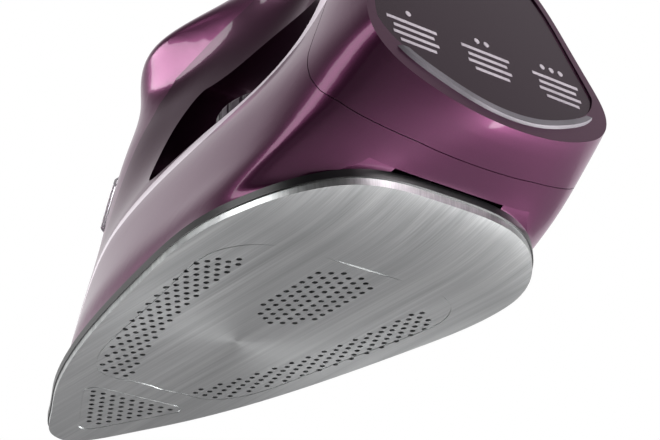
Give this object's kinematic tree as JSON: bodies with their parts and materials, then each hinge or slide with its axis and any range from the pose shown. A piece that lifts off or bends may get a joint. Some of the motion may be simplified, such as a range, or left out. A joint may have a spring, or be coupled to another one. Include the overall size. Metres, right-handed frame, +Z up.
{
  "type": "clothes iron",
  "caption": "Steam iron with a perforated brushed soleplate, closed handle, translucent water tank, dial, push buttons and a tilted heel to stand on.",
  "frame": {"origin": "on the flat face of the sole, on its centre line, 112 mm ahead of the sole's rear edge", "axes": "+X towards the tip, +Y to the user's left, +Z up out of the sole's back"},
  "size_m": [0.2664, 0.127, 0.1365],
  "materials": {
    "sole_metal": "brushed anodised aluminium",
    "element_steel": "satin",
    "cast_aluminium": "as cast",
    "silicone": "matt",
    "steel_cover": "satin",
    "black_plastic": "satin",
    "screw_steel": "bright",
    "plum_gloss": "pearl gloss",
    "plum_dark": "pearl gloss",
    "lavender": "pearl gloss",
    "heel_dark": "gloss",
    "grey_rubber": "matt",
    "print_white": "print",
    "tank_clear": "translucent",
    "clear_cover": "clear",
    "white_plastic": "moulded",
    "dial_dark": "satin",
    "ceramic_white": "glazed",
    "lens_red": "clear"
  },
  "bodies": {
    "iron_body": {"accent_strip_left": "lavender", "accent_strip_right": "lavender", "chamber_cover": "steel_cover", "chamber_gasket": "silicone", "deck_cover": "plum_dark", "frame_screws": "screw_steel", "front_column": "plum_dark", "handle_grip": "plum_dark", "handle_top_trim": "lavender", "heat_shield": "black_plastic", "heater_casting": "cast_aluminium", "heating_element": "element_steel", "heel_foot": "grey_rubber", "heel_frame": "plum_gloss", "heel_legend": "print_white", "heel_panel": "heel_dark", "hinge_pin": "screw_steel", "inlet_funnel": "tank_clear", "lower_skirt": "plum_gloss", "pilot_lens": "lens_red", "pump_bracket": "white_plastic", "rear_column": "plum_dark", "rear_cover": "plum_gloss", "rim_ring": "black_plastic", "soleplate": "sole_metal", "spray_nozzle": "black_plastic", "spray_pump": "white_plastic", "spray_spring": "screw_steel", "steam_pump": "white_plastic", "steam_spring": "screw_steel", "swivel_cradle": "black_plastic", "terminal_block": "ceramic_white", "thermal_fuse": "white_plastic", "thermostat": "steel_cover", "water_tank": "tank_clear"},
    "dial": {"temperature_dial": "dial_dark", "dial_spindle": "white_plastic"},
    "spray_key": {"spray_button": "black_plastic", "spray_piston": "white_plastic"},
    "steam_key": {"steam_button": "black_plastic", "steam_piston": "white_plastic"},
    "selector": {"steam_selector": "black_plastic"},
    "needle": {"steam_needle": "screw_steel"},
    "door": {"inlet_door": "clear_cover"},
    "gland": {"cord_gland": "black_plastic"}
  },
  "joints": [
    {"name": "temperature_turn", "type": "hinge", "parent": "iron_body", "child": "dial", "pos_m": [-0.03, 0, 0.0656], "axis": [0, 0, 1], "range_deg": [0, 270]},
    {"name": "spray_press", "type": "slide", "parent": "iron_body", "child": "spray_key", "axis": [0, 0, -1], "range_m": [0, 0.004], "stiffness_N_per_m": 900, "springref_m": -0.001, "deforming": ["spray_spring"]},
    {"name": "steam_press", "type": "slide", "parent": "iron_body", "child": "steam_key", "axis": [0, 0, -1], "range_m": [0, 0.004], "stiffness_N_per_m": 900, "springref_m": -0.001, "deforming": ["steam_spring"]},
    {"name": "steam_select", "type": "slide", "parent": "iron_body", "child": "selector", "axis": [1, 0, 0], "range_m": [0, 0.01]},
    {"name": "needle_lift", "type": "slide", "parent": "iron_body", "child": "needle", "axis": [0, 0, 1], "range_m": [0, 0.0025]},
    {"name": "inlet_door_hinge", "type": "hinge", "parent": "iron_body", "child": "door", "pos_m": [0.08126, 0, 0.0728], "axis": [0, 1, 0], "range_deg": [0, 100]},
    {"name": "cord_swivel", "type": "hinge", "parent": "iron_body", "child": "gland", "pos_m": [-0.10732, 0, 0.1105], "axis": [0, 0, 1], "range_deg": [-30, 30]}
  ],
  "couplings": [
    {"joint": "needle_lift", "follows": "steam_select", "ratio": 0.25}
  ]
}
